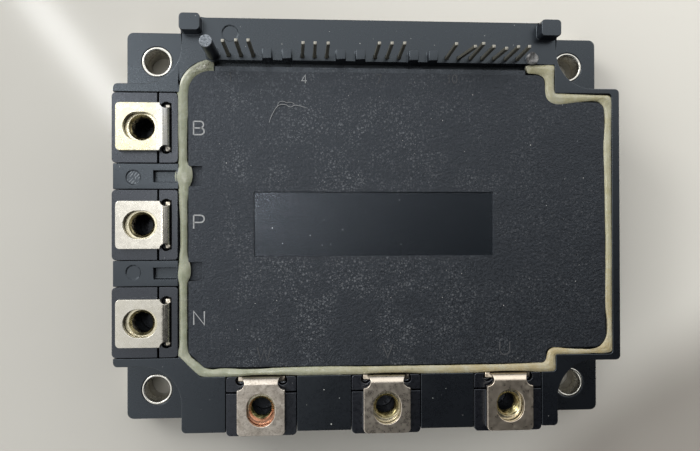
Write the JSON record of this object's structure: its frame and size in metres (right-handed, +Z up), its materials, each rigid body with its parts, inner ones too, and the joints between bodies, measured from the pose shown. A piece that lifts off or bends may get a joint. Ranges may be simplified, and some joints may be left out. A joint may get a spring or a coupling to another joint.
{
  "type": "igbt module",
  "caption": "Power semiconductor module: flat metal base, dark moulded case with four bushed ears, screw terminals on two sides, a row of control pins and a glued-in cover.",
  "frame": {"origin": "centre of the rectangle of mounting holes, on the underside of the base plate", "axes": "+X along the long side, away from the three terminals B, P and N; +Y towards the control pins; +Z up out of the heatsink"},
  "size_m": [0.11, 0.089, 0.0316],
  "materials": {
    "nickel_plate": "satin",
    "white_silicone": "satin",
    "case_plastic": "satin",
    "bush_steel": "satin",
    "cover_plastic": "matte",
    "adhesive": "gloss",
    "terminal_nickel": "satin",
    "nut_metal": "satin",
    "holder_plastic": "satin",
    "pin_tin": "satin",
    "board_laminate": "satin",
    "ic_plastic": "matte",
    "small_ceramic": "matte",
    "solder": "satin",
    "copper": "satin",
    "alumina": "matte",
    "silicon": "gloss",
    "wire_aluminium": "satin",
    "silicone_gel": "gloss"
  },
  "bodies": {
    "root": {"base_plate": "nickel_plate", "base_sealant": "white_silicone", "case_frame": "case_plastic", "mounting_bushes": "bush_steel", "cover": "cover_plastic", "adhesive_bead": "adhesive", "terminal_b": "terminal_nickel", "terminal_p": "terminal_nickel", "terminal_n": "terminal_nickel", "terminal_w": "terminal_nickel", "terminal_v": "terminal_nickel", "terminal_u": "terminal_nickel", "terminal_nuts": "nut_metal", "nut_holders": "holder_plastic", "terminal_blocks": "holder_plastic", "control_pins_1": "pin_tin", "control_pins_2": "pin_tin", "control_pins_3": "pin_tin", "control_pins_4": "pin_tin", "control_board": "board_laminate", "driver_ics": "ic_plastic", "board_parts": "small_ceramic", "link_pins": "pin_tin", "substrate_solder": "solder", "back_copper": "copper", "ceramic_tiles": "alumina", "copper_tracks": "copper", "igbt_chips": "silicon", "diode_chips": "silicon", "temp_sensor": "small_ceramic", "bond_wires": "wire_aluminium", "gel_fill": "silicone_gel"}
  },
  "joints": []
}
